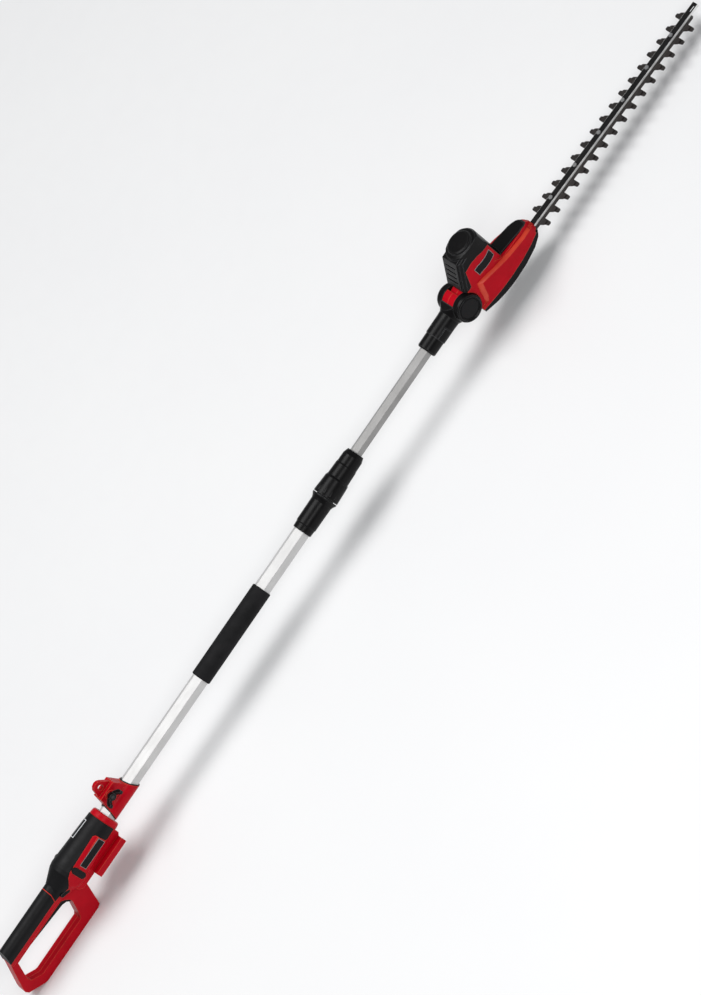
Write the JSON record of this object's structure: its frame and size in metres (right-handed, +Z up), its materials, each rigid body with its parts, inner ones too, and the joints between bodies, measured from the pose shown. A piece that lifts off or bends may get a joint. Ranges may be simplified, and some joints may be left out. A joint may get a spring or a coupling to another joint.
{
  "type": "cordless telescopic pole hedge trimmer",
  "caption": "Battery pole hedge trimmer: D-shaped handle, telescopic six-sided pole with foam grip, strap bracket, twist lock, and a tilting motor head with a double-sided blade.",
  "frame": {"origin": "under the middle of the tool's bounding box, on the plane the handle's guard stands on", "axes": "+X along the pole towards the blade, +Z up, the pole's axis 93 mm above the origin, +Y to the tool's left"},
  "size_m": [1.9854, 0.066, 0.1728],
  "materials": {
    "red_shell": "fine matt texture",
    "black_cover": "soft matt moulded cover",
    "black_plastic": "fine matt texture",
    "gloss_black": "polished moulding",
    "rim_grey": "satin",
    "label": "gloss film",
    "foam": "closed-cell foam",
    "tube_aluminium": "satin anodised",
    "steel": "machined",
    "zinc_steel": "zinc plated",
    "blade_steel": "oiled dark steel, ground edges",
    "bar_steel": "blackened with a bare edge",
    "grey_plastic": "glass-filled",
    "board": "circuit board",
    "brass": "plated contacts",
    "lead_rubber": "cable sheath"
  },
  "bodies": {
    "handle": {"handle_shell_right": "red_shell", "handle_shell_left": "red_shell", "grip_cover": "black_cover", "body_cover": "black_cover", "top_inset": "gloss_black", "top_rim": "rim_grey", "side_pads": "black_cover", "handle_labels": "label", "battery_shoe": "red_shell", "terminal_block": "black_plastic", "terminals": "brass", "pole_socket": "red_shell", "main_switch": "black_plastic", "control_board": "board", "handle_screws": "zinc_steel", "trigger_pin": "steel", "trigger_spring": "steel", "lock_off_spring": "steel", "outer_tube": "tube_aluminium", "foam_grip": "foam", "coiled_lead": "lead_rubber", "lock_base": "black_plastic", "lock_collet": "grey_plastic", "guide_bush": "grey_plastic"},
    "trigger": {"trigger": "black_plastic"},
    "lock_off": {"lock_off_button": "black_plastic"},
    "strap_bracket": {"strap_bracket": "red_shell", "bracket_liner": "lead_rubber", "clamp_bolt": "zinc_steel"},
    "wing_nut": {"wing_nut": "black_plastic"},
    "twist_sleeve": {"twist_sleeve": "black_plastic"},
    "inner_pole": {"inner_tube": "tube_aluminium", "tube_plug": "black_plastic", "straight_lead": "lead_rubber", "yoke": "black_plastic", "yoke_cap": "black_plastic", "hinge_bolt": "zinc_steel", "button_spring": "steel"},
    "release_button": {"release_button": "gloss_black"},
    "head": {"head_shell_right": "red_shell", "head_shell_left": "red_shell", "motor_cap": "black_plastic", "front_cover": "black_plastic", "guard_plate": "black_plastic", "head_labels": "label", "head_screws": "zinc_steel", "gear_plate": "tube_aluminium", "bearings": "steel", "motor": "zinc_steel", "blade_bar": "bar_steel", "bar_bolts": "zinc_steel", "blade_screws": "zinc_steel", "detent_star": "zinc_steel"},
    "rotor": {"rotor_shaft": "steel", "cooling_fan": "grey_plastic"},
    "crank": {"crank_gear": "steel"},
    "upper_blade": {"upper_blade": "blade_steel"},
    "lower_blade": {"lower_blade": "blade_steel"}
  },
  "joints": [
    {"name": "trigger_squeeze", "type": "hinge", "parent": "handle", "child": "trigger", "pos_m": [-0.93025, 0, 0.08], "axis": [0, -1, 0], "range_deg": [0, 4], "stiffness_Nm_per_rad": 4, "springref_deg": -5.73, "deforming": ["trigger_spring"]},
    {"name": "lock_off_push", "type": "slide", "parent": "handle", "child": "lock_off", "axis": [0, 1, 0], "range_m": [0, 0.0025], "stiffness_N_per_m": 800, "springref_m": -0.002, "deforming": ["lock_off_spring"]},
    {"name": "bracket_slide", "type": "slide", "parent": "handle", "child": "strap_bracket", "axis": [1, 0, 0], "range_m": [0, 0.19]},
    {"name": "wing_nut_turn", "type": "hinge", "parent": "strap_bracket", "child": "wing_nut", "pos_m": [-0.63975, -0.016, 0.121], "axis": [0, 1, 0], "continuous": true},
    {"name": "lock_twist", "type": "hinge", "parent": "handle", "child": "twist_sleeve", "pos_m": [0.00745, 0, 0.093], "axis": [1, 0, 0], "range_deg": [0, 120]},
    {"name": "telescope", "type": "slide", "parent": "handle", "child": "inner_pole", "axis": [1, 0, 0], "range_m": [-0.18, 0.33], "deforming": ["coiled_lead"]},
    {"name": "release_push", "type": "slide", "parent": "inner_pole", "child": "release_button", "axis": [0, 1, 0], "range_m": [0, 0.004], "stiffness_N_per_m": 1500, "springref_m": -0.003, "deforming": ["button_spring"]},
    {"name": "head_tilt", "type": "hinge", "parent": "inner_pole", "child": "head", "pos_m": [0.35995, 0, 0.093], "axis": [0, 1, 0], "range_deg": [-45, 60]},
    {"name": "crank_spin", "type": "hinge", "parent": "head", "child": "crank", "pos_m": [0.46212, 0, 0.07234], "axis": [0.0454, 0, 0.999], "continuous": true},
    {"name": "rotor_spin", "type": "hinge", "parent": "head", "child": "rotor", "pos_m": [0.43415, 0, 0.07361], "axis": [0.0454, 0, 0.999], "continuous": true},
    {"name": "upper_blade_slide", "type": "slide", "parent": "head", "child": "upper_blade", "axis": [0.999, 0, -0.0454], "range_m": [-0.008, 0.008]},
    {"name": "lower_blade_slide", "type": "slide", "parent": "head", "child": "lower_blade", "axis": [0.999, 0, -0.0454], "range_m": [-0.008, 0.008]}
  ],
  "couplings": [
    {"joint": "rotor_spin", "follows": "crank_spin", "ratio": -3},
    {"joint": "lower_blade_slide", "follows": "upper_blade_slide", "ratio": -1}
  ]
}
